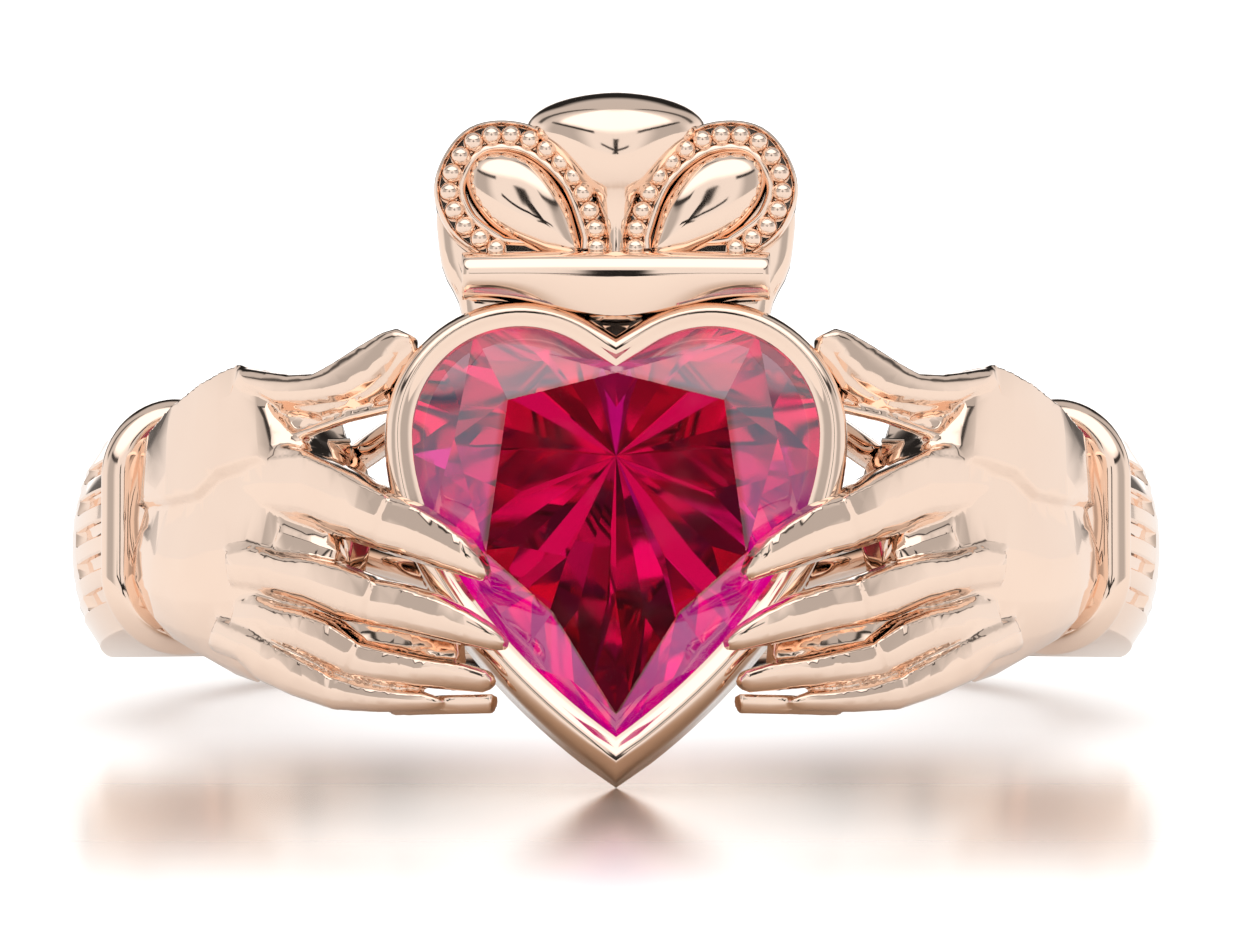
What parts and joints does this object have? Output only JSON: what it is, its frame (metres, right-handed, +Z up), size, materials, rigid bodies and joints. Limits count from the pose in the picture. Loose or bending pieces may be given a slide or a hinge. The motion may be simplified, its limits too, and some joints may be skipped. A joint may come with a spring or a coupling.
{
  "type": "claddagh ring",
  "caption": "Rose gold finger ring whose band ends in two cuffed hands that hold a crowned, heart-shaped red stone in a raised rim.",
  "frame": {"origin": "middle of the ring's box, on the surface that it lies on", "axes": "+Z up; the heart faces -Y and +X is to the viewer's right; the finger hole runs up and leans back by 13 degrees"},
  "size_m": [0.0228, 0.0244, 0.0138],
  "materials": {
    "rose_gold": "polished 14 carat rose gold",
    "ruby": "faceted, clear red stone"
  },
  "bodies": {
    "root": {"ring_body": "rose_gold", "heart_stone": "ruby"}
  },
  "joints": []
}
